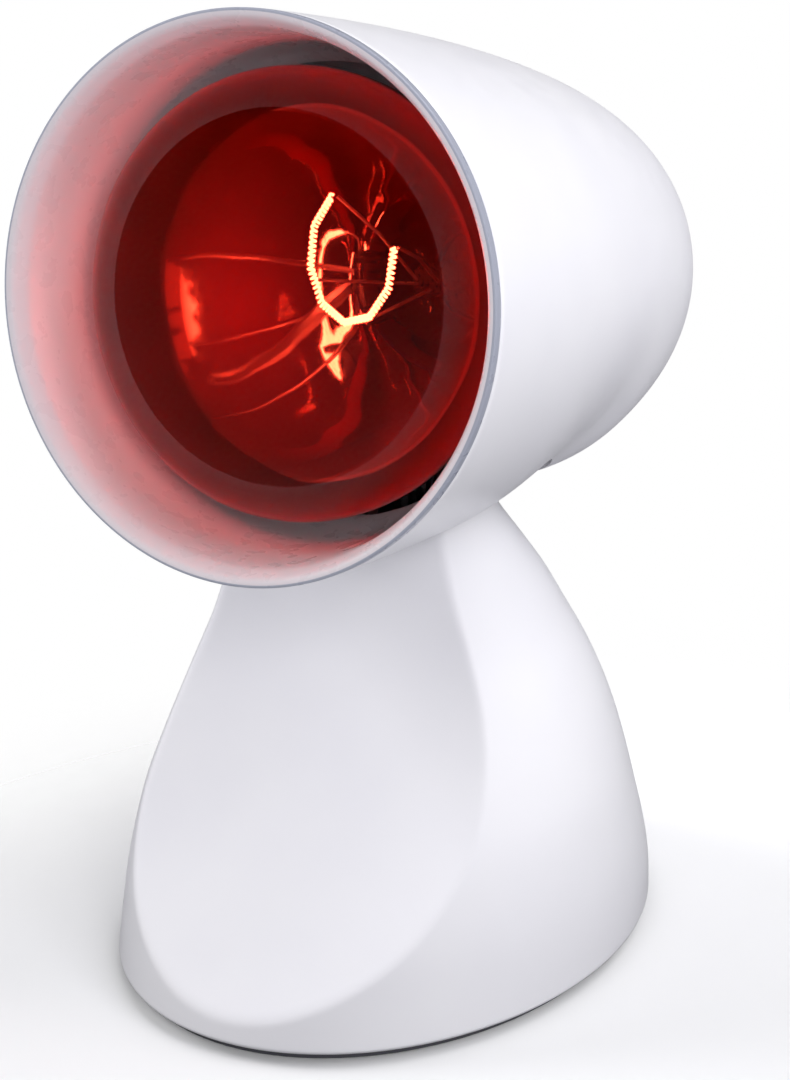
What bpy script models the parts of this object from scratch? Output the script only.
"""Infrared heat therapy lamp: a bullet-shaped shade with a red reflector bulb, tilting on a bell of a stand.

Units are metres and +Z is up. The lamp shines towards -Y, and the origin is on the table under the
middle of the whole lamp. The stand's pieces are modelled from the middle of the stand's foot outline.
The shade's pieces are modelled from the middle of the front rim, with +Z running back along the
shade's axis and +Y pointing down, and hang on an empty that lies on the tilt axis.
"""

import math

import bmesh
import bpy
from mathutils import Matrix, Vector

# Fits and cuts
MILLIMETRE = 0.001
GAP = 0.0003
CUT_OVERRUN = 0.002
MERGE_DISTANCE = 0.000005
SHARP_ANGLE = math.radians(35)

# Steps round a full circle
LARGE_STEPS = 36
BULB_STEPS = 22
SMALL_STEPS = 12
SCREW_STEPS = 8

# Stand
STAND_HALF_WIDTH = 0.0599
STAND_HALF_DEPTH = 0.0787
STAND_WALL = 0.0025
STAND_EDGE_Z = 0.003
COLLAR_TOP_Z = 0.1135
COLLAR_NOTCH_X = 0.0205
COLLAR_NOTCH = 0.0050
FACET_SETBACK = 0.0253
FACET_SWEEP = 0.0641
FACET_STRAIGHT_Z = 0.0855
FACET_CELLS = 14
# Each row is height, half width, front reach and rear reach, as shares of the stand's own sizes.
STAND_SECTION_SHARES = (
    (0.000, 1.000, 1.000, 1.000),
    (0.086, 0.993, 0.968, 0.981),
    (0.172, 0.977, 0.938, 0.936),
    (0.258, 0.950, 0.897, 0.884),
    (0.344, 0.917, 0.844, 0.835),
    (0.431, 0.870, 0.773, 0.788),
    (0.516, 0.816, 0.699, 0.728),
    (0.603, 0.753, 0.629, 0.653),
    (0.688, 0.683, 0.572, 0.565),
    (0.775, 0.619, 0.534, 0.469),
    (0.860, 0.559, 0.513, 0.348),
    (0.932, 0.513, 0.496, 0.236),
    (1.000, 0.474, 0.483, 0.146),
)

# Stand bosses and the screws that hold the foot plate
CORNER_BOSS_RADIUS = 0.0036
CORNER_BOSS_HEIGHT = 0.042
SCREW_RADIUS = 0.0013
SCREW_HOLE_RADIUS = 0.0016
SCREW_HEAD_RADIUS = 0.0028
SCREW_HEAD_HEIGHT = 0.0016
SCREW_LENGTH = 0.010

# Foot plate, feet and ballast
# Across, front and rear places on the foot plate, as shares of its half width and half depth.
FOOT_SHARES = (0.53, -0.68, 0.72)
CORNER_SHARES = (0.63, -0.553, 0.606)
PLATE_BOTTOM_Z = 0.0008
PLATE_THICKNESS = 0.0027
FOOT_RADIUS = 0.006
FOOT_RECESS = 0.0006
BALLAST_HALF_WIDTH = 0.040
BALLAST_HALF_DEPTH = 0.030
BALLAST_THICKNESS = 0.004
BALLAST_Y = -0.008

# Mains inlet and terminal block
INLET_Z = 0.0172
INLET_HOLE_RADIUS = 0.0040
INLET_BORE_RADIUS = 0.0027
INLET_FLANGE_RADIUS = 0.0051
INLET_FLANGE = 0.0014
INLET_WALL_BOW = 0.0004
BLOCK_Y = 0.044
BLOCK_HALF_WIDTH = 0.0095
BLOCK_HALF_DEPTH = 0.0065
BLOCK_HEIGHT = 0.011
POLE_X = 0.005
POLE_BORE_RADIUS = 0.0019
POLE_BORE_Z = 0.0045
POLE_SCREW_RADIUS = 0.0017
POLE_SCREW_Y = 0.0036
POLE_SCREW_DEPTH = 0.0036

# Tilt joint
PIVOT_Y = -0.002
PIVOT_Z = 0.1117
PIVOT_SETBACK = 0.0686
PIVOT_DROP = 0.044
REST_TILT = math.radians(6)
TILT_STEP = math.radians(6)
TILT_STEPS_DOWN = 1
TILT_STEPS_UP = 3
BOLT_RADIUS = 0.0025
BOLT_FIT = 0.0001
BOLT_HEAD_RADIUS = 0.0046
BOLT_HEAD_HEIGHT = 0.003
BOLT_HEAD_EDGE = 0.0009
NUT_RADIUS = 0.0045
NUT_HEIGHT = 0.0035
BOLT_TAIL = 0.001
WASHER_RADIUS = 0.0055
WASHER_THICKNESS = 0.001
CHEEK_INSIDE_X = 0.0079
CHEEK_THICKNESS = 0.0018
CHEEK_HALF_DEPTH = 0.008
CRADLE_HALF_DEPTH = 0.0125
CRADLE_Z = 0.0743
CRADLE_THICKNESS = 0.0018
CRADLE_SIDE_CLEARANCE = 0.007
CRADLE_SCREW_INSET = 0.0045
CRADLE_BOSS_RADIUS = 0.004
CRADLE_BOSS_HEIGHT = 0.030
CRADLE_LEAD_HOLE_RADIUS = 0.0022
SPACER_RADIUS = 0.0042
SECTOR_HALF_THICKNESS = 0.0012
SECTOR_RADIUS = 0.020
SECTOR_NOTCH_RADIUS = 0.0009
SECTOR_HALF_ANGLE = math.radians(32)
SECTOR_REAR_ANGLE = math.radians(42)
SPRING_HALF_WIDTH = 0.003
SPRING_THICKNESS = 0.0004
SPRING_FOOT = 0.005
SPRING_SPAN = 0.015

# Shade
MOUTH_CLEARANCE = 0.0103
SHADE_LENGTH = 0.169
SHADE_WALL = 0.002
SHADE_SIDE_POWER = 1.77
SHADE_END_POWER = 4.7
SHADE_RINGS = 12
WAIST_DEPTH = 0.003
WAIST_FRONT = 0.046
WAIST_MIDDLE = 0.092
WAIST_REAR = 0.118
WAIST_FULL_ANGLE = math.radians(42)
WAIST_FADE_ANGLE = math.radians(95)
SLOT_CLEARANCE = 0.0046
SLOT_FRONT = 0.0428
SLOT_CORNER_RADIUS = 0.009
SLOT_MIDDLE = 0.076
SLOT_REAR = 0.1185
VENT_COUNT = 5
VENT_PITCH = 0.0075
VENT_HALF_WIDTH = 0.0014
VENT_HALF_HEIGHT = 0.0125
VENT_REACH = 0.009

# Liner, whose front lip covers the shade's edge
LIP_DEPTH = 0.0022
LIP_GROOVE = 0.0004
LIP_WIDTH = 0.0012
LINER_WALL = 0.0012
LINER_LENGTH = 0.0385
LINER_CLEARANCE = 0.0012
# Depth behind the rim and inside radius, as shares of the liner's length and of its front inside radius.
LINER_SHARES = (
    (0.000, 1.000),
    (0.030, 0.982),
    (0.120, 0.960),
    (0.400, 0.945),
    (0.720, 0.927),
    (0.900, 0.900),
)

# Bulb
BULB_RADIUS = 0.0475
BULB_WIDEST = 0.0245
BULB_DOME = 0.0238
BULB_NECK_RADIUS = 0.0162
BULB_NECK = 0.093
BULB_GLASS = 0.001
BULB_DOME_RINGS = 7
BULB_ROUNDNESS = 0.8
BULB_THROAT_RADIUS = 0.0122
MIRROR_THICKNESS = 0.0004
# Distance from the widest circle to the neck, and radius above the neck's, as shares.
BULB_BACK_SHARES = (
    (0.070, 0.990),
    (0.155, 0.945),
    (0.300, 0.815),
    (0.450, 0.635),
    (0.600, 0.435),
    (0.750, 0.240),
    (0.880, 0.085),
)
CAP_FRONT = 0.1085
CAP_RADIUS = 0.0131
CAP_WALL = 0.0004
CAP_THREAD_DEPTH = 0.0008
CAP_THREAD_PITCH = 0.0036
CAP_THREADS = 5
CAP_SKIRT = 0.005
CAP_SHOULDER = 0.0024
CAP_INSULATOR = 0.003
CAP_INSULATOR_RADIUS = 0.0075
CAP_TIP_RADIUS = 0.0042
CAP_TIP = 0.0011
STEM_FRONT = 0.084
STEM_RADIUS = 0.0042
STEM_FLARE = 0.010
FILAMENT_DEPTH = 0.047
FILAMENT_RISE = 0.0075
FILAMENT_HALF_WIDTH = 0.0105
FILAMENT_HALF_HEIGHT = 0.0148
FILAMENT_START = math.radians(-148)
FILAMENT_END = math.radians(100)
FILAMENT_CURLS = 12
FILAMENT_CURL_RADIUS = 0.0009
FILAMENT_WIRE_RADIUS = 0.0003
FILAMENT_LEAST_GAP = 0.0004
CURL_POINTS = 8
SUPPORT_COUNT = 2
SUPPORT_WIRE_RADIUS = 0.0004
LEAD_IN_X = 0.0028

# Lampholder
HOLDER_FRONT = 0.1125
HOLDER_REAR = 0.1495
HOLDER_NECK_RADIUS = 0.0175
HOLDER_RADIUS = 0.0205
HOLDER_STEP = 0.126
HOLDER_BORE_REAR = 0.1395
SLEEVE_WALL = 0.0004
SLEEVE_FIT = 0.0004
CONTACT_HALF_WIDTH = 0.003
CONTACT_HALF_HEIGHT = 0.005
CONTACT_THICKNESS = 0.0005
TERMINAL_X = 0.009
TERMINAL_DEPTH = 0.145
TERMINAL_HOLE_RADIUS = 0.0021
TERMINAL_HOLE = 0.004

# Chassis inside the shade
CHASSIS_DOWN = 0.0325
CHASSIS_THICKNESS = 0.0015
CHASSIS_FRONT = 0.0712
CHASSIS_NECK = 0.098
CHASSIS_STEP = 0.112
CHASSIS_CORNER = 0.129
CHASSIS_WAIST = 0.133
CHASSIS_REAR = 0.146
CHASSIS_CLEARANCE = 0.0016
EAR_THICKNESS = 0.0015
EAR_RADIUS = 0.0075
EAR_LEAN = math.radians(120)
EAR_ROOT = 0.0135
BOSS_INSET = 0.0045
BOSS_SETBACK = 0.0055
SHADE_BOSS_RADIUS = 0.0034
SHORT_SCREW_LENGTH = 0.0034
BRACKET_THICKNESS = 0.0015
BRACKET_FOOT_FRONT = 0.129
BRACKET_HALF_WIDTH = 0.010
BRACKET_TOP = 0.013
BRACKET_SCREW_DEPTH = 0.134
HOLDER_SCREW_DOWN = 0.008
HOLDER_SCREW_REACH = 0.006
SHIELD_SETBACK = 0.0054
SHIELD_CHASSIS_GAP = 0.001
SHIELD_BULB_GAP = 0.0025
SHIELD_THICKNESS = 0.0008
SHIELD_FOOT = 0.009
SHIELD_FOOT_HALF_WIDTH = 0.006
SHIELD_SCREW_SETBACK = 0.005

# Leads from the terminal block to the lampholder
LEAD_RADIUS = 0.0012
LEAD_SAMPLES = 32
LEAD_GATE_Y = -0.0105
LEAD_RISE_DOWN = 0.037
LEAD_RISE_DEPTH = 0.068
LEAD_RUN_DOWN = 0.0275

# Colours as linear values, with roughness and metallic
WHITE_GLOSS = ((0.88, 0.88, 0.89), 0.25, 0.0)
WHITE_LINER = ((0.86, 0.85, 0.86), 0.30, 0.0)
GREY_PLASTIC = ((0.10, 0.10, 0.11), 0.55, 0.0)
BLACK_RUBBER = ((0.02, 0.02, 0.02), 0.80, 0.0)
RED_GLASS = ((0.42, 0.02, 0.01), 0.08, 0.0)
CLEAR_GLASS = ((0.85, 0.88, 0.88), 0.05, 0.0)
SILVER = ((0.90, 0.90, 0.90), 0.12, 1.0)
STEEL = ((0.55, 0.56, 0.57), 0.35, 1.0)
SPRING_STEEL = ((0.35, 0.36, 0.38), 0.30, 1.0)
ALUMINIUM = ((0.75, 0.76, 0.77), 0.35, 1.0)
BRASS = ((0.75, 0.55, 0.25), 0.30, 1.0)
CERAMIC = ((0.82, 0.80, 0.75), 0.35, 0.0)
BLACK_GLASS = ((0.01, 0.01, 0.01), 0.15, 0.0)
TUNGSTEN = ((0.95, 0.62, 0.25), 0.45, 1.0)
NATURAL_NYLON = ((0.78, 0.77, 0.72), 0.50, 0.0)
WHITE_SLEEVING = ((0.80, 0.79, 0.74), 0.70, 0.0)

# Places that follow from the sizes above
RIM_Y = PIVOT_Y - PIVOT_SETBACK * math.cos(REST_TILT) + PIVOT_DROP * math.sin(REST_TILT)
RIM_Z = PIVOT_Z + PIVOT_SETBACK * math.sin(REST_TILT) + PIVOT_DROP * math.cos(REST_TILT)
PLATE_TOP_Z = PLATE_BOTTOM_Z + PLATE_THICKNESS
PLATE_HALF_WIDTH = STAND_HALF_WIDTH - STAND_WALL - GAP
PLATE_HALF_DEPTH = STAND_HALF_DEPTH - STAND_WALL - GAP
CHEEK_OUTSIDE_X = CHEEK_INSIDE_X + CHEEK_THICKNESS
EAR_INSIDE_X = CHEEK_OUTSIDE_X + GAP
EAR_OUTSIDE_X = EAR_INSIDE_X + EAR_THICKNESS
CHASSIS_UNDER = CHASSIS_DOWN + CHASSIS_THICKNESS
SHADE_RADIUS = BULB_RADIUS + MOUTH_CLEARANCE
SHADE_FRONT = LIP_DEPTH + LIP_GROOVE
SLOT_HALF_WIDTH = STAND_HALF_WIDTH * STAND_SECTION_SHARES[-1][1] + SLOT_CLEARANCE
LINER_REAR_RADIUS = BULB_RADIUS + LINER_CLEARANCE
SHIELD_DEPTH = PIVOT_SETBACK + EAR_ROOT + SHIELD_SETBACK
SHIELD_RADIUS = CHASSIS_DOWN - SHIELD_CHASSIS_GAP
SHIELD_SCREW_DEPTH = SHIELD_DEPTH + SHIELD_SCREW_SETBACK
CAP_THREAD_REAR = CAP_FRONT + CAP_SKIRT + CAP_THREADS * CAP_THREAD_PITCH
CAP_REAR = CAP_THREAD_REAR + CAP_SHOULDER
TIP_FRONT = CAP_REAR + CAP_INSULATOR
ACROSS = (0.0, math.pi / 2, 0.0)
DOWN = (-math.pi / 2, 0.0, 0.0)
UP = (math.pi / 2, 0.0, 0.0)
OVER = (math.pi, 0.0, 0.0)


def clear_scene():
    """Remove whatever the file holds."""
    for item in list(bpy.data.objects):
        bpy.data.objects.remove(item, do_unlink=True)


def make_empty(name, location, turn_x=0.0, parent=None):
    """Add an empty that others hang on."""
    empty = bpy.data.objects.new(name, None)
    empty.location = location
    empty.rotation_euler = (turn_x, 0.0, 0.0)
    empty.parent = parent
    bpy.context.scene.collection.objects.link(empty)
    return empty


def add_object(name, data, finish=None, parent=None, location=(0.0, 0.0, 0.0), rotation=(0.0, 0.0, 0.0)):
    """Link mesh or curve data as a named object with its own material."""
    item = bpy.data.objects.new(name, data)
    item.parent = parent
    item.location = location
    item.rotation_euler = rotation
    bpy.context.scene.collection.objects.link(item)
    if finish:
        colour, roughness, metallic = finish
        material = bpy.data.materials.new(name)
        material.use_nodes = True
        shader = material.node_tree.nodes["Principled BSDF"]
        shader.inputs["Base Color"].default_value = (*colour, 1.0)
        shader.inputs["Roughness"].default_value = roughness
        shader.inputs["Metallic"].default_value = metallic
        data.materials.append(material)
    return item


def mesh_from(bm, name, smooth=True):
    """Turn a bmesh into a mesh with its faces pointing out."""
    bmesh.ops.recalc_face_normals(bm, faces=bm.faces)
    mesh = bpy.data.meshes.new(name)
    bm.to_mesh(mesh)
    bm.free()
    if smooth:
        mesh.shade_smooth()
        mesh.set_sharp_from_angle(angle=SHARP_ANGLE)
    return mesh


def turned(name, outline, steps, start=0.0):
    """Spin (radius, height) points round Z; an outline with both ends off the axis is a closed ring."""
    bm = bmesh.new()
    verts = [bm.verts.new((radius, 0.0, height)) for radius, height in outline]
    edges = [bm.edges.new(pair) for pair in zip(verts, verts[1:])]
    if outline[0][0] > 0 and outline[-1][0] > 0:
        edges.append(bm.edges.new((verts[-1], verts[0])))
    if start:
        bmesh.ops.rotate(bm, verts=verts, cent=(0, 0, 0), matrix=Matrix.Rotation(start, 3, "Z"))
    bmesh.ops.spin(
        bm, geom=verts + edges, cent=(0, 0, 0), axis=(0, 0, 1), dvec=(0, 0, 0),
        angle=math.tau, steps=steps, use_merge=True,
    )
    bmesh.ops.remove_doubles(bm, verts=bm.verts, dist=MERGE_DISTANCE)
    return mesh_from(bm, name)


def cylinder(name, radius, low, high, steps=SMALL_STEPS):
    """A plain round bar along Z."""
    bm = bmesh.new()
    bmesh.ops.create_cone(bm, cap_ends=True, segments=steps, radius1=radius, radius2=radius, depth=high - low)
    bmesh.ops.translate(bm, vec=(0, 0, (low + high) / 2), verts=bm.verts)
    return mesh_from(bm, name)


def tube(name, inside, outside, low, high, steps=SMALL_STEPS):
    """A plain round tube along Z."""
    return turned(name, ((inside, low), (outside, low), (outside, high), (inside, high)), steps)


def box(name, low, high):
    """A plain block between two corners."""
    bm = bmesh.new()
    bmesh.ops.create_cube(bm, size=1.0)
    size = Vector(high) - Vector(low)
    bmesh.ops.scale(bm, vec=size, verts=bm.verts)
    bmesh.ops.translate(bm, vec=(Vector(high) + Vector(low)) / 2, verts=bm.verts)
    return mesh_from(bm, name, smooth=False)


def plate(name, outline, low, high, plane):
    """Push a flat outline through a thickness; YZ goes along X, and XZ goes along Y."""
    bm = bmesh.new()
    travel = {"XZ": Vector((0, high - low, 0)), "YZ": Vector((high - low, 0, 0))}
    if plane == "XZ":
        corners = [(u, low, v) for u, v in outline]
    else:
        corners = [(low, u, v) for u, v in outline]
    face = bm.faces.new([bm.verts.new(corner) for corner in corners])
    pushed = bmesh.ops.extrude_face_region(bm, geom=[face])["geom"]
    moved = [item for item in pushed if isinstance(item, bmesh.types.BMVert)]
    bmesh.ops.translate(bm, vec=travel[plane], verts=moved)
    return mesh_from(bm, name)


def arc(centre, radius, first, last, steps):
    """Points along an arc, both ends included."""
    turns = [first + (last - first) * step / steps for step in range(steps + 1)]
    return [(centre[0] + radius * math.cos(turn), centre[1] + radius * math.sin(turn)) for turn in turns]


def carve(item, cutter_mesh, operation="DIFFERENCE", location=(0, 0, 0), rotation=(0, 0, 0)):
    """Cut a tool shape from a piece, or join it on, in the piece's own coordinates."""
    tool = bpy.data.objects.new(item.name + "_tool", cutter_mesh)
    tool.parent = item
    tool.location = location
    tool.rotation_euler = rotation
    tool.hide_render = True
    tool.display_type = "WIRE"
    bpy.context.scene.collection.objects.link(tool)
    cut = item.modifiers.new(tool.name, "BOOLEAN")
    cut.operation = operation
    cut.solver = "EXACT"
    cut.object = tool
    return tool


def smooth_path(points, samples):
    """Read evenly numbered points from a smooth curve through the given ones."""
    path = [Vector(point) for point in points]
    path = [path[0] * 2 - path[1]] + path + [path[-1] * 2 - path[-2]]
    spans = len(path) - 3
    found = []
    for index in range(samples):
        place = index / (samples - 1) * spans
        span = min(int(place), spans - 1)
        t = place - span
        a, b, c, d = path[span:span + 4]
        bend = (a * -1 + b * 3 - c * 3 + d) * t ** 3 + (a * 2 - b * 5 + c * 4 - d) * t ** 2
        found.append((bend + (c - a) * t + b * 2) / 2)
    return found


def wire(name, points, radius, resolution=2):
    """A round wire along points, with filled ends."""
    curve = bpy.data.curves.new(name, "CURVE")
    curve.dimensions = "3D"
    curve.bevel_depth = radius
    curve.bevel_resolution = resolution
    curve.use_fill_caps = True
    spline = curve.splines.new("POLY")
    spline.points.add(len(points) - 1)
    for point, place in zip(spline.points, points):
        point.co = (*place, 1.0)
    return curve


def screw(name, length, head_radius=SCREW_HEAD_RADIUS, head_height=SCREW_HEAD_HEIGHT, radius=SCREW_RADIUS):
    """A pan-head screw along Z: the underside of its head is at zero, and its point is down."""
    outline = (
        (0.0, -length), (radius, radius - length), (radius, 0.0),
        (head_radius, 0.0), (head_radius, head_height), (0.0, head_height),
    )
    return turned(name, outline, SCREW_STEPS)


def screw_hole(low, high):
    """A cutter along Z that clears a screw."""
    return cylinder("screw_hole", SCREW_HOLE_RADIUS, low, high, SCREW_STEPS)


def add_nut(name, sizes, parent, location, rotation):
    """A hexagon nut from its corner radius, bore radius and two heights."""
    radius, bore, low, high = sizes
    nut = add_object(name, cylinder(name, radius, low, high, 6), STEEL, parent, location, rotation)
    carve(nut, cylinder(name + "_bore", bore, low - CUT_OVERRUN, high + CUT_OVERRUN))


def blend(t):
    """Ease from 0 to 1."""
    t = min(max(t, 0.0), 1.0)
    return t * t * (3 - 2 * t)


def stand_section(share_row, inset):
    """Half width, middle Y, half depth and height of one section of the stand."""
    height, width, front, rear = share_row
    half_width = STAND_HALF_WIDTH * width - inset
    front_y = inset - STAND_HALF_DEPTH * front
    rear_y = STAND_HALF_DEPTH * rear - inset
    z = STAND_EDGE_Z + (COLLAR_TOP_Z - STAND_EDGE_Z) * height
    return half_width, (front_y + rear_y) / 2, (rear_y - front_y) / 2, z


def between(rows, place, column):
    """Read one column of rising rows at a place in their first column, straight from row to row."""
    low, high = next(pair for pair in zip(rows, rows[1:]) if place <= pair[1][0] or pair[1] is rows[-1])
    return low[column] + (high[column] - low[column]) * (place - low[0]) / (high[0] - low[0])


def cradle_half_width():
    """Half width of the cradle's web, which spans the stand's neck."""
    height = (CRADLE_Z - STAND_EDGE_Z) / (COLLAR_TOP_Z - STAND_EDGE_Z)
    neck = STAND_HALF_WIDTH * between(STAND_SECTION_SHARES, height, 1)
    return neck - STAND_WALL - CRADLE_SIDE_CLEARANCE


def cradle_screw_x():
    """How far the cradle's screws and their bosses are from the middle."""
    return cradle_half_width() - CRADLE_SCREW_INSET


def lead_x():
    """How far each lead passes from the middle, halfway between a cheek and a cradle screw."""
    return (CHEEK_OUTSIDE_X + cradle_screw_x()) / 2


def stand_body(name, inset, overrun):
    """The stand's egg-shaped body before its front is cut, as one closed solid."""
    sections = [stand_section(row, inset) for row in STAND_SECTION_SHARES]
    if overrun:
        low, high = sections[0], sections[-1]
        sections = [low[:3] + (low[3] - overrun,)] + sections + [high[:3] + (high[3] + overrun,)]
    bm = bmesh.new()
    bmesh.ops.create_circle(bm, cap_ends=True, segments=LARGE_STEPS, radius=1.0)
    ring = list(bm.edges)
    unit = {vert: Vector((vert.co.x, vert.co.y)) for vert in bm.verts}
    for number, (half_width, middle, half_depth, z) in enumerate(sections):
        if number:
            before = dict(unit)
            grown = bmesh.ops.extrude_edge_only(bm, edges=ring)["geom"]
            ring = [item for item in grown if isinstance(item, bmesh.types.BMEdge)]
            fresh = [item for item in grown if isinstance(item, bmesh.types.BMVert)]
            unit = {}
            for vert in fresh:
                below = [edge.other_vert(vert) for edge in vert.link_edges]
                unit[vert] = before[next(other for other in below if other in before)]
        for vert, place in unit.items():
            vert.co = (half_width * place.x, middle + half_depth * place.y, z)
    bmesh.ops.edgeloop_fill(bm, edges=ring)
    return mesh_from(bm, name)


def facet_y(z):
    """How far forward the stand's hollowed front reaches at a height."""
    below = max(FACET_STRAIGHT_Z - z, 0.0) / FACET_STRAIGHT_Z
    return -FACET_SETBACK - FACET_SWEEP * below ** 2


def facet_tool(name, inset):
    """A block whose back is the stand's hollowed front, moved back by the inset."""
    half = STAND_HALF_WIDTH + CUT_OVERRUN
    low = STAND_EDGE_Z - CUT_OVERRUN * 2
    high = COLLAR_TOP_Z + CUT_OVERRUN * 2
    bm = bmesh.new()
    bmesh.ops.create_grid(bm, x_segments=FACET_CELLS, y_segments=FACET_CELLS, size=1.0)
    grown = bmesh.ops.extrude_face_region(bm, geom=bm.faces[:], use_keep_orig=True)["geom"]
    front = {item for item in grown if isinstance(item, bmesh.types.BMVert)}
    for vert in bm.verts:
        x = vert.co.x * half
        z = low + (vert.co.y + 1) / 2 * (high - low)
        y = -STAND_HALF_DEPTH - FACET_SWEEP if vert in front else facet_y(z) + inset
        vert.co = (x, y, z)
    return mesh_from(bm, name)


def corner_places(shares):
    """Four places on the foot plate, with the words that name them."""
    across, front, rear = shares
    x = PLATE_HALF_WIDTH * across
    front_y = PLATE_HALF_DEPTH * front
    rear_y = PLATE_HALF_DEPTH * rear
    return (
        ("front_left", x, front_y), ("front_right", -x, front_y),
        ("rear_left", x, rear_y), ("rear_right", -x, rear_y),
    )


def build_stand_shell(stand):
    """The white moulding: egg body, hollowed front, open collar, bosses and mains inlet hole."""
    shell = add_object("stand_shell", stand_body("stand_shell", 0.0, 0.0), WHITE_GLOSS, stand)
    carve(shell, facet_tool("facet_cut", 0.0))
    cavity = carve(shell, stand_body("stand_cavity", STAND_WALL, CUT_OVERRUN))
    carve(cavity, facet_tool("facet_cavity_cut", STAND_WALL))
    low = (-COLLAR_NOTCH_X, -STAND_HALF_DEPTH, COLLAR_TOP_Z - COLLAR_NOTCH)
    high = (COLLAR_NOTCH_X, STAND_HALF_DEPTH, COLLAR_TOP_Z + CUT_OVERRUN * 2)
    carve(shell, box("collar_notch", low, high))
    boss_low = PLATE_TOP_Z + GAP
    for word, x, y in corner_places(CORNER_SHARES):
        top = boss_low + CORNER_BOSS_HEIGHT
        post = cylinder("corner_boss", CORNER_BOSS_RADIUS, boss_low, top, SCREW_STEPS)
        keep_inside(carve(shell, post, "UNION", (x, y, 0.0)))
        carve(shell, screw_hole(boss_low - CUT_OVERRUN, boss_low + SCREW_LENGTH), "DIFFERENCE", (x, y, 0.0))
    for side in (1, -1):
        low = CRADLE_Z + CRADLE_THICKNESS + GAP
        place = (side * cradle_screw_x(), PIVOT_Y, 0.0)
        post = cylinder("cradle_boss", CRADLE_BOSS_RADIUS, low, low + CRADLE_BOSS_HEIGHT, SCREW_STEPS)
        keep_inside(carve(shell, post, "UNION", place))
        carve(shell, screw_hole(low - CUT_OVERRUN, low + SCREW_LENGTH), "DIFFERENCE", place)
    inlet = cylinder("inlet_hole", INLET_HOLE_RADIUS, -STAND_WALL * 2, STAND_WALL * 2)
    carve(shell, inlet, "DIFFERENCE", *inlet_place())


def keep_inside(tool):
    """Trim a boss so that it ends in the stand's wall and not outside it."""
    trim = bpy.data.objects.new(tool.name + "_trim", stand_body("boss_trim", STAND_WALL / 2, 0.0))
    trim.location = -Vector(tool.location)
    trim.parent = tool
    trim.hide_render = True
    trim.display_type = "WIRE"
    bpy.context.scene.collection.objects.link(trim)
    cut = tool.modifiers.new(trim.name, "BOOLEAN")
    cut.operation = "INTERSECT"
    cut.solver = "EXACT"
    cut.object = trim
    carve(tool, facet_tool("boss_facet_cut", STAND_WALL / 2), "DIFFERENCE", -Vector(tool.location))


def inlet_place():
    """Middle of the stand's rear wall at the inlet, and the turn that points the inlet out of it."""
    rows = [stand_section(row, 0.0) for row in STAND_SECTION_SHARES]
    low, high = next(pair for pair in zip(rows, rows[1:]) if pair[0][3] <= INLET_Z <= pair[1][3])
    lean = math.atan2(low[1] + low[2] - high[1] - high[2], high[3] - low[3])
    share = (INLET_Z - low[3]) / (high[3] - low[3])
    rear = (low[1] + low[2]) * (1 - share) + (high[1] + high[2]) * share
    y = rear - STAND_WALL / 2 * math.cos(lean)
    z = INLET_Z - STAND_WALL / 2 * math.sin(lean)
    return (0.0, y, z), (lean - math.pi / 2, 0.0, 0.0)


def build_foot_plate(stand):
    """The dark plate that closes the stand, with its screws, feet and ballast."""
    bm = bmesh.new()
    bmesh.ops.create_circle(bm, cap_ends=True, segments=LARGE_STEPS, radius=1.0)
    bmesh.ops.scale(bm, vec=(PLATE_HALF_WIDTH, PLATE_HALF_DEPTH, 1.0), verts=bm.verts)
    bmesh.ops.translate(bm, vec=(0, 0, PLATE_BOTTOM_Z), verts=bm.verts)
    grown = bmesh.ops.extrude_face_region(bm, geom=bm.faces[:])["geom"]
    raised = [item for item in grown if isinstance(item, bmesh.types.BMVert)]
    bmesh.ops.translate(bm, vec=(0, 0, PLATE_THICKNESS), verts=raised)
    base = add_object("foot_plate", mesh_from(bm, "foot_plate"), GREY_PLASTIC, stand)
    seat_z = PLATE_BOTTOM_Z + PLATE_THICKNESS / 2
    for word, x, y in corner_places(CORNER_SHARES):
        low = PLATE_BOTTOM_Z - CUT_OVERRUN
        carve(base, screw_hole(low, PLATE_TOP_Z + CUT_OVERRUN), "DIFFERENCE", (x, y, 0.0))
        sink = cylinder("plate_sink", SCREW_HEAD_RADIUS + GAP, low, seat_z, SCREW_STEPS)
        carve(base, sink, "DIFFERENCE", (x, y, 0.0))
        head = PLATE_THICKNESS / 2 - GAP
        mesh = screw("plate_screw_" + word, SCREW_LENGTH, head_height=head)
        place = (x, y, seat_z - GAP)
        add_object("plate_screw_" + word, mesh, STEEL, stand, place, OVER)
    for word, x, y in corner_places(FOOT_SHARES):
        roof = PLATE_BOTTOM_Z + FOOT_RECESS
        recess = cylinder("foot_recess", FOOT_RADIUS + GAP, PLATE_BOTTOM_Z - CUT_OVERRUN, roof)
        carve(base, recess, "DIFFERENCE", (x, y, 0.0))
        top = roof - GAP
        edge = top / 4
        outline = ((0.0, 0.0), (FOOT_RADIUS - edge, 0.0), (FOOT_RADIUS, edge), (FOOT_RADIUS, top), (0.0, top))
        name = "foot_" + word
        add_object(name, turned(name, outline, SMALL_STEPS), BLACK_RUBBER, stand, (x, y, 0.0))
    build_ballast(stand, base)


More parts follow.
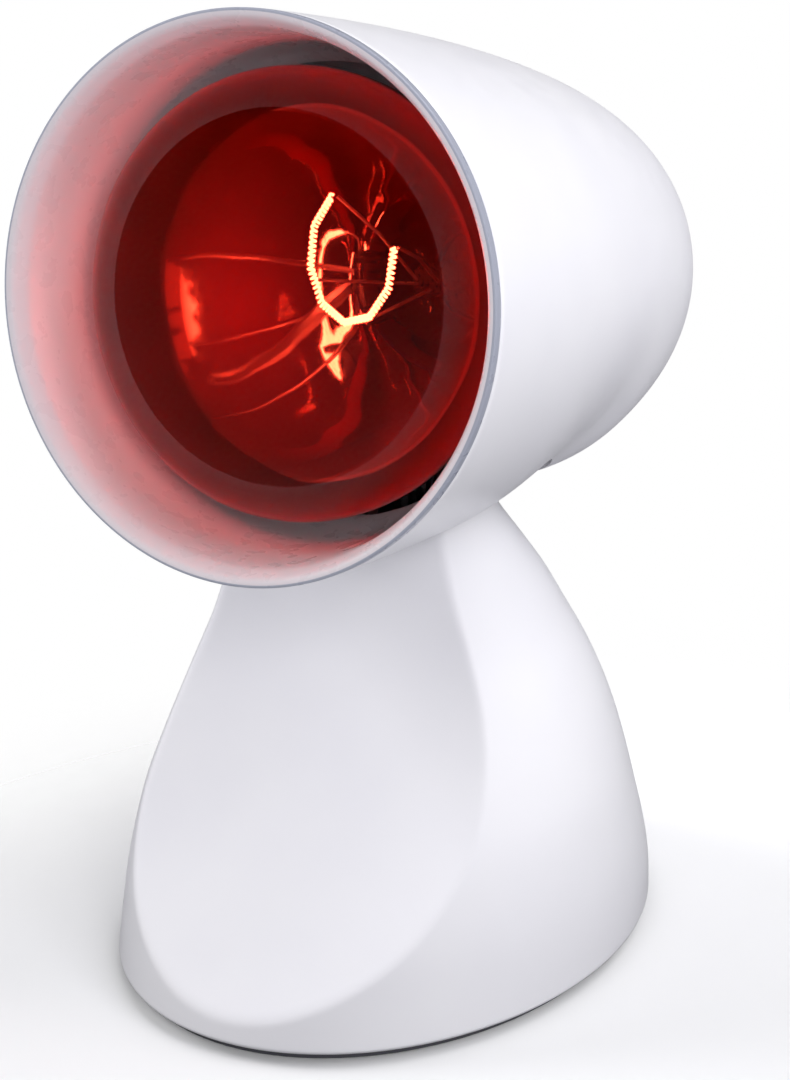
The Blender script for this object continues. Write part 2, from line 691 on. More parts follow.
def build_ballast(stand, base):
    """The steel weight that lies on the foot plate, and its screw."""
    low = PLATE_TOP_Z + GAP
    high = low + BALLAST_THICKNESS
    mesh = cylinder("ballast_plate", BALLAST_HALF_WIDTH, low, high, LARGE_STEPS)
    mesh.transform(Matrix.Diagonal((1.0, BALLAST_HALF_DEPTH / BALLAST_HALF_WIDTH, 1.0, 1.0)))
    weight = add_object("ballast_plate", mesh, STEEL, stand, (0.0, BALLAST_Y, 0.0))
    floor = PLATE_BOTTOM_Z + PLATE_THICKNESS / 3
    carve(weight, screw_hole(low - CUT_OVERRUN, high + CUT_OVERRUN))
    carve(base, screw_hole(floor, low + CUT_OVERRUN), "DIFFERENCE", (0.0, BALLAST_Y, 0.0))
    mesh = screw("ballast_screw", high - floor)
    add_object("ballast_screw", mesh, STEEL, stand, (0.0, BALLAST_Y, high + GAP))


def build_inlet(stand):
    """The rubber bush in the rear wall that the mains cord would pass through."""
    reach = STAND_WALL / 2 + GAP
    outer = reach + INLET_FLANGE
    bowed = reach + INLET_WALL_BOW
    inner = bowed + INLET_FLANGE
    narrow = INLET_HOLE_RADIUS - GAP
    bead = INLET_FLANGE / 3
    outline = (
        (INLET_BORE_RADIUS, -inner), (INLET_FLANGE_RADIUS - bead, -inner),
        (INLET_FLANGE_RADIUS, bead - inner), (INLET_FLANGE_RADIUS, -bowed), (narrow, -bowed),
        (narrow, reach), (INLET_FLANGE_RADIUS, reach), (INLET_FLANGE_RADIUS, outer - bead),
        (INLET_FLANGE_RADIUS - bead, outer), (INLET_BORE_RADIUS, outer),
    )
    mesh = turned("cord_inlet_bush", outline, SMALL_STEPS)
    add_object("cord_inlet_bush", mesh, BLACK_RUBBER, stand, *inlet_place())


def build_terminal_block(stand):
    """The two-pole block that joins the mains cord to the lampholder's leads."""
    low = PLATE_TOP_Z + GAP
    top = low + BLOCK_HEIGHT
    first, last = (-BLOCK_HALF_WIDTH, -BLOCK_HALF_DEPTH, low), (BLOCK_HALF_WIDTH, BLOCK_HALF_DEPTH, top)
    mesh = box("terminal_block", first, last)
    block = add_object("terminal_block", mesh, NATURAL_NYLON, stand, (0.0, BLOCK_Y, 0.0))
    number = 0
    for x in (POLE_X, -POLE_X):
        reach = BLOCK_HALF_DEPTH + CUT_OVERRUN
        bore = cylinder("pole_bore", POLE_BORE_RADIUS, -reach, reach, SCREW_STEPS)
        carve(block, bore, "DIFFERENCE", (x, 0.0, low + POLE_BORE_Z), UP)
        for y in (POLE_SCREW_Y, -POLE_SCREW_Y):
            number += 1
            seat = top - POLE_SCREW_DEPTH - GAP
            hole = cylinder("pole_well", POLE_SCREW_RADIUS + GAP, seat, top + CUT_OVERRUN, SCREW_STEPS)
            carve(block, hole, "DIFFERENCE", (x, y, 0.0))
            name = "terminal_screw_%d" % number
            mesh = cylinder(name, POLE_SCREW_RADIUS, top - POLE_SCREW_DEPTH, top - GAP, SCREW_STEPS)
            add_object(name, mesh, BRASS, stand, (x, BLOCK_Y + y, 0.0))


def build_cradle(stand):
    """The steel bracket inside the collar: a web across the neck and two cheeks that carry the tilt bolt."""
    web_top = CRADLE_Z + CRADLE_THICKNESS
    low = (-cradle_half_width(), PIVOT_Y - CRADLE_HALF_DEPTH, CRADLE_Z)
    high = (cradle_half_width(), PIVOT_Y + CRADLE_HALF_DEPTH, web_top)
    cradle = add_object("tilt_cradle", box("tilt_cradle", low, high), STEEL, stand)
    root = web_top - CRADLE_THICKNESS / 2
    outline = [(PIVOT_Y + CHEEK_HALF_DEPTH, root)]
    outline += arc((PIVOT_Y, PIVOT_Z), CHEEK_HALF_DEPTH, 0.0, math.pi, SMALL_STEPS // 2)
    outline += [(PIVOT_Y - CHEEK_HALF_DEPTH, root)]
    for side in (1, -1):
        near, far = sorted((side * CHEEK_INSIDE_X, side * CHEEK_OUTSIDE_X))
        carve(cradle, plate("cheek", outline, near, far, "YZ"), "UNION")
        x = side * cradle_screw_x()
        under, over = CRADLE_Z - CUT_OVERRUN, web_top + CUT_OVERRUN
        carve(cradle, screw_hole(under, over), "DIFFERENCE", (x, PIVOT_Y, 0.0))
        gate = cylinder("lead_hole", CRADLE_LEAD_HOLE_RADIUS, under, over, SCREW_STEPS)
        carve(cradle, gate, "DIFFERENCE", (side * lead_x(), LEAD_GATE_Y, 0.0))
        name = "cradle_screw_left" if side > 0 else "cradle_screw_right"
        add_object(name, screw(name, SCREW_LENGTH), STEEL, stand, (x, PIVOT_Y, CRADLE_Z - GAP), OVER)
    reach = CHEEK_OUTSIDE_X + CUT_OVERRUN
    bore = cylinder("cheek_bore", BOLT_RADIUS + BOLT_FIT, -reach, reach)
    carve(cradle, bore, "DIFFERENCE", (0.0, PIVOT_Y, PIVOT_Z), ACROSS)


def build_tilt_bolt(stand):
    """The bolt on the tilt axis with its spacer, washers, spring washer and locknut."""
    place = (0.0, PIVOT_Y, PIVOT_Z)
    head_x = EAR_OUTSIDE_X + GAP + WASHER_THICKNESS + GAP
    nut_x = head_x + WASHER_THICKNESS + GAP
    tail = nut_x + NUT_HEIGHT + BOLT_TAIL
    crown = -head_x - BOLT_HEAD_HEIGHT
    outline = (
        (0.0, crown), (BOLT_HEAD_RADIUS - BOLT_HEAD_EDGE, crown), (BOLT_HEAD_RADIUS, crown + BOLT_HEAD_EDGE),
        (BOLT_HEAD_RADIUS, -head_x), (BOLT_RADIUS, -head_x), (BOLT_RADIUS, tail), (0.0, tail),
    )
    add_object("tilt_bolt", turned("tilt_bolt", outline, SMALL_STEPS), STEEL, stand, place, ACROSS)
    bore = BOLT_RADIUS + GAP
    spacer = tube("tilt_spacer", bore, SPACER_RADIUS, GAP - CHEEK_INSIDE_X, CHEEK_INSIDE_X - GAP)
    add_object("tilt_spacer", spacer, ALUMINIUM, stand, place, ACROSS)
    near = EAR_OUTSIDE_X + GAP
    for word, low in (("left", near), ("right", -near - WASHER_THICKNESS)):
        ring = tube("tilt_washer_" + word, bore, WASHER_RADIUS, low, low + WASHER_THICKNESS)
        add_object("tilt_washer_" + word, ring, STEEL, stand, place, ACROSS)
    dish = (
        (bore, head_x), (NUT_RADIUS, head_x + WASHER_THICKNESS / 3), (NUT_RADIUS, head_x + WASHER_THICKNESS),
        (bore, head_x + WASHER_THICKNESS * 2 / 3),
    )
    mesh = turned("spring_washer", dish, SMALL_STEPS)
    add_object("spring_washer", mesh, SPRING_STEEL, stand, place, ACROSS)
    sizes = (NUT_RADIUS, BOLT_RADIUS + BOLT_FIT, nut_x, nut_x + NUT_HEIGHT)
    add_nut("tilt_locknut", sizes, stand, place, ACROSS)


def build_detent_spring(stand):
    """The bowed leaf on the cradle whose crest rests in a notch of the sector above it."""
    base = CRADLE_Z + CRADLE_THICKNESS + GAP
    crest = PIVOT_Z - SECTOR_RADIUS - GAP
    under = [(PIVOT_Y - SPRING_SPAN / 2, base)]
    steps = SMALL_STEPS // 2
    rise = crest - SPRING_THICKNESS - base
    for step in range(1, steps):
        t = step / steps
        height = base + rise * math.sin(math.pi * t) ** 2
        under.append((PIVOT_Y + SPRING_SPAN * (t - 1 / 2), height))
    under.append((PIVOT_Y + SPRING_SPAN / 2, base))
    above = [(y, z + SPRING_THICKNESS) for y, z in reversed(under)]
    mesh = plate("detent_spring", under + above, -SPRING_HALF_WIDTH, SPRING_HALF_WIDTH, "YZ")
    add_object("detent_spring", mesh, SPRING_STEEL, stand)


def shade_radius(depth, inset=0.0):
    """Radius of the shade behind the rim: full at the front, closing to a blunt round end."""
    length = SHADE_LENGTH - inset
    share = min(depth / length, 1.0)
    return (SHADE_RADIUS - inset) * (1 - share ** SHADE_SIDE_POWER) ** (1 / SHADE_END_POWER)


def waist(depth, angle):
    """How far the shade's underside is drawn in, where the stand's collar enters it."""
    front = blend((depth - WAIST_FRONT) / (WAIST_MIDDLE - WAIST_FRONT))
    rear = blend((WAIST_REAR - depth) / (WAIST_REAR - WAIST_MIDDLE))
    round_share = blend((WAIST_FADE_ANGLE - angle) / (WAIST_FADE_ANGLE - WAIST_FULL_ANGLE))
    return WAIST_DEPTH * front * rear * round_share


def shade_outline(inset):
    """(radius, depth) points from the front edge to the middle of the blunt end."""
    length = SHADE_LENGTH - inset
    points = []
    for ring in range(SHADE_RINGS):
        turn = math.pi / 2 * ring / SHADE_RINGS
        depth = SHADE_FRONT + (length - SHADE_FRONT) * math.sin(turn)
        points.append((shade_radius(depth, inset), depth))
    return points + [(0.0, length)]


def outline_box(name, x, down, depth, finish, parent):
    """A plate given by its two limits in each direction of the shade."""
    low, high = zip(x, down, depth)
    return add_object(name, box(name, low, high), finish, parent)


def build_shade_shell(axis):
    """The white outer moulding of the head, with the slot for the collar, bosses and rear vents."""
    outside = shade_outline(0.0)
    inside = shade_outline(SHADE_WALL)
    mesh = turned("shade_shell", outside[::-1] + inside, LARGE_STEPS)
    for vert in mesh.vertices:
        angle = math.atan2(abs(vert.co.x), vert.co.y)
        radius = math.hypot(vert.co.x, vert.co.y)
        if radius > WAIST_DEPTH:
            share = 1 - waist(vert.co.z, angle) / radius
            vert.co.x *= share
            vert.co.y *= share
    shell = add_object("shade_shell", mesh, WHITE_GLOSS, axis)
    top = CHASSIS_UNDER + GAP
    for word, x, depth in chassis_screw_places():
        middle = shade_radius(depth + SHADE_BOSS_RADIUS, SHADE_WALL / 2)
        reach = math.sqrt(middle ** 2 - (abs(x) + SHADE_BOSS_RADIUS) ** 2)
        post = cylinder("shade_boss", SHADE_BOSS_RADIUS, top, reach, SCREW_STEPS)
        carve(shell, post, "UNION", (x, 0.0, depth), DOWN)
        hole = screw_hole(top - CUT_OVERRUN, top + SHORT_SCREW_LENGTH)
        carve(shell, hole, "DIFFERENCE", (x, 0.0, depth), DOWN)
    slot = plate("collar_slot", slot_outline(), CHASSIS_UNDER + CUT_OVERRUN, SHADE_RADIUS + CUT_OVERRUN, "XZ")
    carve(shell, slot)
    first = -VENT_PITCH * (VENT_COUNT - 1) / 2
    for number in range(VENT_COUNT):
        x = first + VENT_PITCH * number
        low = (x - VENT_HALF_WIDTH, -VENT_HALF_HEIGHT, SHADE_LENGTH - VENT_REACH)
        high = (x + VENT_HALF_WIDTH, VENT_HALF_HEIGHT, SHADE_LENGTH + CUT_OVERRUN)
        carve(shell, box("vent", low, high))


def slot_outline():
    """(x, depth) points of the slot: rounded front corners and a long rounded rear."""
    steps = SMALL_STEPS // 2
    corner_x = SLOT_HALF_WIDTH - SLOT_CORNER_RADIUS
    corner_depth = SLOT_FRONT + SLOT_CORNER_RADIUS
    points = arc((-corner_x, corner_depth), SLOT_CORNER_RADIUS, -math.pi, -math.pi / 2, steps)
    points += arc((corner_x, corner_depth), SLOT_CORNER_RADIUS, -math.pi / 2, 0.0, steps)
    for turn in range(LARGE_STEPS // 2 + 1):
        angle = math.tau * turn / LARGE_STEPS
        reach = (SLOT_REAR - SLOT_MIDDLE) * math.sin(angle)
        points.append((SLOT_HALF_WIDTH * math.cos(angle), SLOT_MIDDLE + reach))
    return points


def chassis_half_width(depth):
    """Half width of the chassis where it comes nearest to the shade's wall."""
    inside = shade_radius(depth, SHADE_WALL) - CHASSIS_CLEARANCE
    return math.sqrt(inside ** 2 - CHASSIS_UNDER ** 2)


def chassis_screw_places():
    """Names and places of the four screws that hold the chassis in the shade."""
    front_x = chassis_half_width(CHASSIS_CORNER) - BOSS_INSET
    rear_x = chassis_half_width(CHASSIS_REAR) - BOSS_INSET
    return (
        ("front_left", front_x, CHASSIS_CORNER - BOSS_SETBACK),
        ("front_right", -front_x, CHASSIS_CORNER - BOSS_SETBACK),
        ("rear_left", rear_x, CHASSIS_REAR - BOSS_SETBACK),
        ("rear_right", -rear_x, CHASSIS_REAR - BOSS_SETBACK),
    )


def build_shade_liner(axis):
    """The white inner reflector, whose front lip covers the shade's edge."""
    front_radius = SHADE_RADIUS - LIP_WIDTH
    inside = [(front_radius * radius, LINER_LENGTH * depth) for depth, radius in LINER_SHARES]
    inside.append((LINER_REAR_RADIUS, LINER_LENGTH))
    edge = LIP_WIDTH / 3
    points = [(SHADE_RADIUS, LIP_DEPTH), (SHADE_RADIUS, edge), (SHADE_RADIUS - edge, 0.0)]
    points += inside
    for radius, depth in reversed(inside):
        if depth > LIP_DEPTH:
            points.append((min(radius + LINER_WALL, shade_radius(depth, SHADE_WALL) - GAP), depth))
    points.append((shade_radius(SHADE_FRONT, SHADE_WALL) - GAP, LIP_DEPTH))
    add_object("shade_liner", turned("shade_liner", points, LARGE_STEPS), WHITE_LINER, axis)


def build_chassis(axis):
    """The steel pressing that carries the lampholder: ears on the tilt bolt, a notched tab and wings."""
    x = EAR_OUTSIDE_X
    wing_x, tail_x = chassis_half_width(CHASSIS_CORNER), chassis_half_width(CHASSIS_REAR)
    half = [
        (x, CHASSIS_FRONT), (x, CHASSIS_NECK), (wing_x, CHASSIS_STEP), (wing_x, CHASSIS_CORNER),
        (tail_x, CHASSIS_WAIST), (tail_x, CHASSIS_REAR),
    ]
    outline = half + [(-x, depth) for x, depth in reversed(half)]
    mesh = plate("tilt_chassis", outline, CHASSIS_DOWN, CHASSIS_UNDER, "XZ")
    chassis = add_object("tilt_chassis", mesh, STEEL, axis)
    root = CHASSIS_DOWN + CHASSIS_THICKNESS / 2
    pivot = (PIVOT_DROP, PIVOT_SETBACK)
    ear = [(root, CHASSIS_FRONT + GAP)]
    ear += arc(pivot, EAR_RADIUS, -EAR_LEAN, math.pi / 2, SMALL_STEPS // 2)
    ear += [(root, PIVOT_SETBACK + EAR_ROOT)]
    for side in (1, -1):
        near, far = sorted((side * EAR_INSIDE_X, side * (EAR_OUTSIDE_X - GAP)))
        carve(chassis, plate("ear", ear, near, far, "YZ"), "UNION")
    tab = [(root, CHASSIS_FRONT + GAP)] + sector_arc() + [(root, PIVOT_SETBACK + EAR_ROOT)]
    carve(chassis, plate("sector", tab, -SECTOR_HALF_THICKNESS, SECTOR_HALF_THICKNESS, "YZ"), "UNION")
    bolt_hole = cylinder("ear_bore", BOLT_RADIUS + BOLT_FIT, -wing_x, wing_x)
    carve(chassis, bolt_hole, "DIFFERENCE", (0.0, PIVOT_DROP, PIVOT_SETBACK), ACROSS)
    reach = CHEEK_INSIDE_X / 2
    spacer_hole = cylinder("sector_bore", SPACER_RADIUS + GAP, -reach, reach)
    carve(chassis, spacer_hole, "DIFFERENCE", (0.0, PIVOT_DROP, PIVOT_SETBACK), ACROSS)
    low = CHASSIS_DOWN - CUT_OVERRUN
    high = CHASSIS_UNDER + CUT_OVERRUN
    places = list(chassis_screw_places())
    places += [("bracket", 0.0, BRACKET_SCREW_DEPTH), ("shield", 0.0, SHIELD_SCREW_DEPTH)]
    for word, x, depth in places:
        carve(chassis, screw_hole(low, high), "DIFFERENCE", (x, 0.0, depth), DOWN)
    for word, x, depth in chassis_screw_places():
        mesh = screw("chassis_screw_" + word, SHORT_SCREW_LENGTH + CHASSIS_THICKNESS)
        add_object("chassis_screw_" + word, mesh, STEEL, axis, (x, CHASSIS_DOWN - GAP, depth), UP)


def sector_arc():
    """The sector's lower edge: an arc round the tilt axis with a notch for each stop."""
    points = []
    notch_angle = 2 * math.asin(SECTOR_NOTCH_RADIUS / (2 * SECTOR_RADIUS))
    places = [-SECTOR_HALF_ANGLE]
    for stop in range(-TILT_STEPS_DOWN, TILT_STEPS_UP + 1):
        middle = REST_TILT + TILT_STEP * stop
        places += [middle - notch_angle, None, middle + notch_angle]
    places.append(SECTOR_REAR_ANGLE)
    for index, angle in enumerate(places):
        radius = SECTOR_RADIUS
        if angle is None:
            angle = (places[index - 1] + places[index + 1]) / 2
            radius = SECTOR_RADIUS - SECTOR_NOTCH_RADIUS
        down = PIVOT_DROP + radius * math.cos(angle)
        points.append((down, PIVOT_SETBACK + radius * math.sin(angle)))
    return points


def bulb_back(depth_share, radius_share):
    """Radius and depth on the glass behind its widest circle."""
    radius = BULB_NECK_RADIUS + (BULB_RADIUS - BULB_NECK_RADIUS) * radius_share
    return radius, BULB_WIDEST + (BULB_NECK - BULB_WIDEST) * depth_share


def bulb_radius(depth):
    """Radius of the glass at a depth behind its widest circle."""
    rows = ((0.0, 1.0),) + BULB_BACK_SHARES + ((1.0, 0.0),)
    share = between(rows, (depth - BULB_WIDEST) / (BULB_NECK - BULB_WIDEST), 1)
    return BULB_NECK_RADIUS + (BULB_RADIUS - BULB_NECK_RADIUS) * share


def bulb_outline(inset):
    """(radius, depth) points of the bulb from the middle of its face to its open neck."""
    points = [(0.0, BULB_WIDEST - BULB_DOME + inset)]
    for ring in range(1, BULB_DOME_RINGS):
        turn = math.pi / 2 * ring / BULB_DOME_RINGS
        radius = (BULB_RADIUS - inset) * math.sin(turn) ** BULB_ROUNDNESS
        depth = BULB_WIDEST - (BULB_DOME - inset) * math.cos(turn) ** BULB_ROUNDNESS
        points.append((radius, depth))
    points.append((BULB_RADIUS - inset, BULB_WIDEST))
    for depth_share, radius_share in BULB_BACK_SHARES:
        radius, depth = bulb_back(depth_share, radius_share)
        points.append((radius - inset, depth))
    points.append((BULB_NECK_RADIUS - inset, BULB_NECK))
    points.append((BULB_THROAT_RADIUS - inset, CAP_FRONT))
    points.append((BULB_THROAT_RADIUS - inset, CAP_FRONT + CAP_SKIRT - GAP))
    return points


def build_bulb(axis):
    """The red reflector bulb with its mirror coat, screw cap, stem and filament."""
    outline = bulb_outline(0.0) + bulb_outline(BULB_GLASS)[::-1]
    add_object("bulb_glass", turned("bulb_glass", outline, BULB_STEPS), RED_GLASS, axis)
    coat = BULB_GLASS + GAP
    outer = [point for point in bulb_outline(coat)[BULB_DOME_RINGS + 1:-3]]
    inner = [point for point in bulb_outline(coat + MIRROR_THICKNESS)[BULB_DOME_RINGS + 1:-3]]
    add_object("bulb_mirror", turned("bulb_mirror", outer + inner[::-1], BULB_STEPS), SILVER, axis)
    outside = [(CAP_RADIUS, CAP_FRONT), (CAP_RADIUS, CAP_FRONT + CAP_SKIRT)]
    for thread in range(CAP_THREADS):
        depth = CAP_FRONT + CAP_SKIRT + CAP_THREAD_PITCH * thread
        outside.append((CAP_RADIUS - CAP_THREAD_DEPTH, depth + CAP_THREAD_PITCH / 3))
        outside.append((CAP_RADIUS, depth + CAP_THREAD_PITCH * 5 / 6))
    outside.append((CAP_INSULATOR_RADIUS + CAP_WALL + GAP, CAP_REAR))
    root = CAP_RADIUS - CAP_THREAD_DEPTH - CAP_WALL
    inside = [(CAP_INSULATOR_RADIUS + GAP, CAP_REAR - CAP_WALL / 2), (root, CAP_THREAD_REAR - CAP_WALL)]
    inside += [(root, CAP_FRONT + CAP_SKIRT), (CAP_RADIUS - CAP_WALL, CAP_FRONT + CAP_SKIRT)]
    inside.append((CAP_RADIUS - CAP_WALL, CAP_FRONT))
    add_object("bulb_cap", turned("bulb_cap", outside + inside, BULB_STEPS), ALUMINIUM, axis)
    tip_radius = CAP_TIP_RADIUS + GAP
    seat = (
        (0.0, CAP_REAR - CAP_SHOULDER / 4), (CAP_INSULATOR_RADIUS, CAP_REAR - CAP_SHOULDER / 4),
        (CAP_INSULATOR_RADIUS, CAP_REAR + CAP_INSULATOR / 4), (tip_radius, TIP_FRONT), (0.0, TIP_FRONT),
    )
    add_object("cap_insulator", turned("cap_insulator", seat, SMALL_STEPS), BLACK_GLASS, axis)
    tip = (
        (0.0, TIP_FRONT + GAP), (CAP_TIP_RADIUS, TIP_FRONT + GAP),
        (CAP_TIP_RADIUS / 2, TIP_FRONT + CAP_TIP), (0.0, TIP_FRONT + CAP_TIP),
    )
    add_object("contact_tip", turned("contact_tip", tip, SMALL_STEPS), BRASS, axis)
    flare_radius = BULB_THROAT_RADIUS - BULB_GLASS - GAP
    stem = (
        (0.0, STEM_FRONT), (STEM_RADIUS, STEM_FRONT), (STEM_RADIUS, CAP_FRONT - STEM_FLARE),
        (flare_radius, CAP_FRONT), (flare_radius, CAP_FRONT + BULB_GLASS), (0.0, CAP_FRONT + BULB_GLASS),
    )
    add_object("glass_stem", turned("glass_stem", stem, SMALL_STEPS), CLEAR_GLASS, axis)
    build_filament(axis)


def filament_place(turn, offset, depth):
    """A place off the filament's oval by an offset outward, with the turn counted from straight down."""
    x = (FILAMENT_HALF_WIDTH + offset) * math.sin(turn)
    return x, (FILAMENT_HALF_HEIGHT + offset) * math.cos(turn) - FILAMENT_RISE, depth


def build_filament(axis):
    """The coiled filament, open at its upper left, with its two lead-in wires and its support wires."""
    points = []
    count = FILAMENT_CURLS * CURL_POINTS
    sweep = FILAMENT_END - FILAMENT_START
    for number in range(count + 1):
        curl = math.tau * number / CURL_POINTS
        depth = FILAMENT_DEPTH + FILAMENT_CURL_RADIUS * math.cos(curl)
        turn = FILAMENT_START + sweep * number / count
        points.append(filament_place(turn, FILAMENT_CURL_RADIUS * math.sin(curl), depth))
    report_gap(points)
    add_object("filament", wire("filament", points, FILAMENT_WIRE_RADIUS, 1), TUNGSTEN, axis)
    behind = FILAMENT_DEPTH + FILAMENT_CURL_RADIUS + FILAMENT_WIRE_RADIUS + SUPPORT_WIRE_RADIUS + GAP
    for word, side, turn in (("left", 1, FILAMENT_END), ("right", -1, FILAMENT_START)):
        foot = Vector((side * LEAD_IN_X, 0.0, STEM_FRONT - GAP))
        end = Vector(filament_place(turn, 0.0, behind))
        knee = (foot + end) / 2 - Vector((0.0, LEAD_IN_X / 2, 0.0))
        name = "lead_in_wire_" + word
        add_object(name, wire(name, [foot, knee, end], SUPPORT_WIRE_RADIUS), STEEL, axis)
    for number in range(SUPPORT_COUNT):
        turn = FILAMENT_START + sweep * (number + 1) / (SUPPORT_COUNT + 1)
        foot = (LEAD_IN_X * math.sin(turn), STEM_RADIUS / 2 * math.cos(turn), STEM_FRONT - GAP)
        name = "filament_support_%d" % (number + 1)
        path = [foot, filament_place(turn, 0.0, behind)]
        add_object(name, wire(name, path, SUPPORT_WIRE_RADIUS), STEEL, axis)


def report_gap(points):
    """Print the least gap between one curl of the filament and the next."""
    places = [Vector(point) for point in points]
    least = math.inf
    for number, place in enumerate(places):
        for other in places[number + CURL_POINTS // 2:number + CURL_POINTS * 2]:
            least = min(least, (place - other).length - FILAMENT_WIRE_RADIUS * 2)
    print("least gap of the filament to itself: %.2f mm" % (least / MILLIMETRE))
    assert least > FILAMENT_LEAST_GAP


def build_lampholder(axis):
    """The ceramic holder with its threaded sleeve, centre contact, bracket and screws."""
    bore = CAP_RADIUS + SLEEVE_FIT + SLEEVE_WALL + GAP
    outline = (
        (0.0, HOLDER_BORE_REAR), (bore, HOLDER_BORE_REAR), (bore, HOLDER_FRONT),
        (HOLDER_NECK_RADIUS, HOLDER_FRONT), (HOLDER_NECK_RADIUS, HOLDER_STEP),
        (HOLDER_RADIUS, HOLDER_STEP), (HOLDER_RADIUS, HOLDER_REAR), (0.0, HOLDER_REAR),
    )
    mesh = turned("lampholder_body", outline, BULB_STEPS)
    holder = add_object("lampholder_body", mesh, CERAMIC, axis)
    for side in (1, -1):
        hole_end = math.sqrt(HOLDER_RADIUS ** 2 - TERMINAL_X ** 2) - TERMINAL_HOLE
        outside = HOLDER_RADIUS + CUT_OVERRUN
        hole = cylinder("terminal_hole", TERMINAL_HOLE_RADIUS, hole_end, outside, SCREW_STEPS)
        carve(holder, hole, "DIFFERENCE", (side * TERMINAL_X, 0.0, TERMINAL_DEPTH), DOWN)
    low, high = CAP_FRONT + CAP_SKIRT, HOLDER_BORE_REAR - GAP
    sleeve = tube("holder_sleeve", CAP_RADIUS + SLEEVE_FIT, bore - GAP, low, high, BULB_STEPS)
    add_object("holder_sleeve", sleeve, BRASS, axis)
    front = TIP_FRONT + CAP_TIP + GAP
    across = (-CONTACT_HALF_WIDTH, CONTACT_HALF_WIDTH)
    outline_box(
        "centre_contact", across, (-CONTACT_HALF_HEIGHT, CONTACT_HALF_HEIGHT),
        (front, front + CONTACT_THICKNESS), BRASS, axis,
    )
    build_holder_bracket(axis, holder)


def build_holder_bracket(axis, holder):
    """The angle bracket that stands on the chassis and holds the lampholder by its back."""
    front = HOLDER_REAR + GAP
    back = front + BRACKET_THICKNESS
    under = CHASSIS_DOWN - GAP
    width = (-BRACKET_HALF_WIDTH, BRACKET_HALF_WIDTH)
    bracket = outline_box("holder_bracket", width, (-BRACKET_TOP, under), (front, back), STEEL, axis)
    low = (width[0], under - BRACKET_THICKNESS, BRACKET_FOOT_FRONT)
    high = (width[1], under, front + BRACKET_THICKNESS / 2)
    carve(bracket, box("bracket_foot", low, high), "UNION")
    hole = screw_hole(under - BRACKET_THICKNESS - CUT_OVERRUN, under + CUT_OVERRUN)
    carve(bracket, hole, "DIFFERENCE", (0.0, 0.0, BRACKET_SCREW_DEPTH), DOWN)
    grip = under - BRACKET_THICKNESS - GAP
    through = CHASSIS_UNDER - grip
    mesh = screw("bracket_screw", through + NUT_HEIGHT)
    add_object("bracket_screw", mesh, STEEL, axis, (0.0, grip, BRACKET_SCREW_DEPTH), UP)
    low = CHASSIS_UNDER + GAP
    sizes = (SCREW_HEAD_RADIUS, SCREW_RADIUS + BOLT_FIT, low, low + NUT_HEIGHT / 2)
    add_nut("bracket_nut", sizes, axis, (0.0, 0.0, BRACKET_SCREW_DEPTH), DOWN)
    for word, down in (("upper", -HOLDER_SCREW_DOWN), ("lower", HOLDER_SCREW_DOWN)):
        carve(bracket, screw_hole(front - CUT_OVERRUN, back + CUT_OVERRUN), "DIFFERENCE", (0.0, down, 0.0))
        reach = HOLDER_REAR - HOLDER_SCREW_REACH
        carve(holder, screw_hole(reach - GAP, HOLDER_REAR + CUT_OVERRUN), "DIFFERENCE", (0.0, down, 0.0))
        mesh = screw("holder_screw_" + word, back + GAP - reach)
        add_object("holder_screw_" + word, mesh, STEEL, axis, (0.0, down, back + GAP))


def build_heat_shield(axis):
    """The aluminium ring behind the bulb that keeps its heat off the wiring."""
    back = SHIELD_DEPTH + SHIELD_THICKNESS
    hole_radius = bulb_radius(SHIELD_DEPTH) + SHIELD_BULB_GAP
    ring = tube("heat_shield", hole_radius, SHIELD_RADIUS, SHIELD_DEPTH, back, BULB_STEPS)
    shield = add_object("heat_shield", ring, ALUMINIUM, axis)
    under = CHASSIS_DOWN - GAP
    low = (-SHIELD_FOOT_HALF_WIDTH, under - SHIELD_THICKNESS, SHIELD_DEPTH + SHIELD_THICKNESS / 2)
    high = (SHIELD_FOOT_HALF_WIDTH, under, SHIELD_DEPTH + SHIELD_FOOT)
    carve(shield, box("shield_foot", low, high), "UNION")
    low = (-SHIELD_FOOT_HALF_WIDTH, (hole_radius + SHIELD_RADIUS) / 2, SHIELD_DEPTH)
    high = (SHIELD_FOOT_HALF_WIDTH, under - SHIELD_THICKNESS / 2, back)
    carve(shield, box("shield_tab", low, high), "UNION")
    hole = screw_hole(under - CUT_OVERRUN, under + CUT_OVERRUN)
    carve(shield, hole, "DIFFERENCE", (0.0, 0.0, SHIELD_SCREW_DEPTH), DOWN)
    head = under - SHIELD_THICKNESS - GAP
    crown = SCREW_HEAD_HEIGHT / 2
    tail = CHASSIS_UNDER + GAP + crown - head
    outline = (
        (0.0, -tail), (SCREW_HEAD_RADIUS * 2 / 3, -tail), (SCREW_HEAD_RADIUS * 2 / 3, crown - tail),
        (SCREW_RADIUS, crown - tail), (SCREW_RADIUS, 0.0), (SCREW_HEAD_RADIUS, 0.0),
        (SCREW_HEAD_RADIUS / 2, crown), (0.0, crown),
    )
    rivet = turned("shield_rivet", outline, SCREW_STEPS)
    add_object("shield_rivet", rivet, ALUMINIUM, axis, (0.0, head, SHIELD_SCREW_DEPTH), UP)


def from_shade(x, down, depth):
    """Where a place in the shade is in the stand's coordinates, with the head at rest."""
    along = depth - PIVOT_SETBACK
    rise = PIVOT_DROP - down
    y = PIVOT_Y + along * math.cos(REST_TILT) + rise * math.sin(REST_TILT)
    z = PIVOT_Z - along * math.sin(REST_TILT) + rise * math.cos(REST_TILT)
    return x, y, z


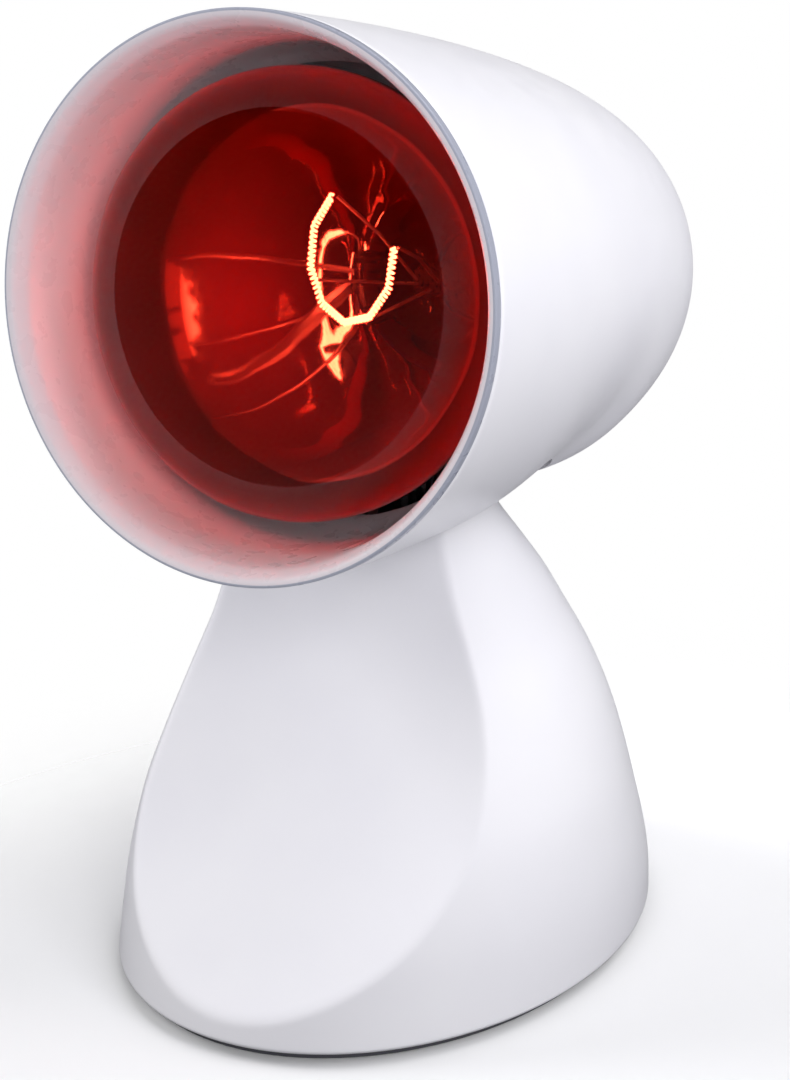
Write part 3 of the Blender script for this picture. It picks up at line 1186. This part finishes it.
def build_leads(stand):
    """The two sleeved leads from the terminal block, past the tilt bolt, to the lampholder."""
    bore_z = PLATE_TOP_Z + GAP + POLE_BORE_Z
    hole_end = math.sqrt(HOLDER_RADIUS ** 2 - TERMINAL_X ** 2) - TERMINAL_HOLE + GAP
    for word, side in (("live", 1), ("neutral", -1)):
        x = side * lead_x()
        route = [
            (side * POLE_X, BLOCK_Y - BLOCK_HALF_DEPTH / 2, bore_z),
            (side * POLE_X, BLOCK_Y - BLOCK_HALF_DEPTH * 5 / 4, bore_z),
            (side * POLE_X, BLOCK_Y - BLOCK_HALF_DEPTH * 2, bore_z),
            (x, BLOCK_Y - BLOCK_HALF_DEPTH * 4, CRADLE_Z / 2),
            (x, LEAD_GATE_Y, CRADLE_Z - CRADLE_THICKNESS * 5),
            (x, LEAD_GATE_Y, CRADLE_Z + CRADLE_THICKNESS / 2),
            (x, LEAD_GATE_Y, CRADLE_Z + CRADLE_THICKNESS * 5),
            (x, LEAD_GATE_Y, PIVOT_Z),
            from_shade(x, LEAD_RISE_DOWN, LEAD_RISE_DEPTH),
            from_shade(x, LEAD_RUN_DOWN, SHIELD_DEPTH),
            from_shade(x, LEAD_RUN_DOWN, HOLDER_STEP),
            from_shade(side * TERMINAL_X, HOLDER_RADIUS + LEAD_RADIUS * 3, TERMINAL_DEPTH),
            from_shade(side * TERMINAL_X, HOLDER_RADIUS - LEAD_RADIUS, TERMINAL_DEPTH),
            from_shade(side * TERMINAL_X, hole_end, TERMINAL_DEPTH),
        ]
        name = "lead_" + word
        add_object(name, wire(name, smooth_path(route, LEAD_SAMPLES), LEAD_RADIUS, 1), WHITE_SLEEVING, stand)


def lamp_rear():
    """How far back the shade reaches from the middle of the stand, with the head at rest."""
    across, along = math.sin(REST_TILT), math.cos(REST_TILT)
    return max(RIM_Y + depth * along + radius * across for radius, depth in shade_outline(0.0))


def main():
    """Build the lamp."""
    clear_scene()
    stand = make_empty("stand_axis", (0.0, (STAND_HALF_DEPTH - lamp_rear()) / 2, 0.0))
    head = make_empty("tilt_axis", (0.0, PIVOT_Y, PIVOT_Z), -REST_TILT, stand)
    axis = make_empty("shade_axis", (0.0, -PIVOT_SETBACK, PIVOT_DROP), -math.pi / 2, head)
    build_stand_shell(stand)
    build_foot_plate(stand)
    build_inlet(stand)
    build_terminal_block(stand)
    build_cradle(stand)
    build_tilt_bolt(stand)
    build_detent_spring(stand)
    build_leads(stand)
    build_shade_shell(axis)
    build_shade_liner(axis)
    build_chassis(axis)
    build_lampholder(axis)
    build_heat_shield(axis)
    build_bulb(axis)


main()
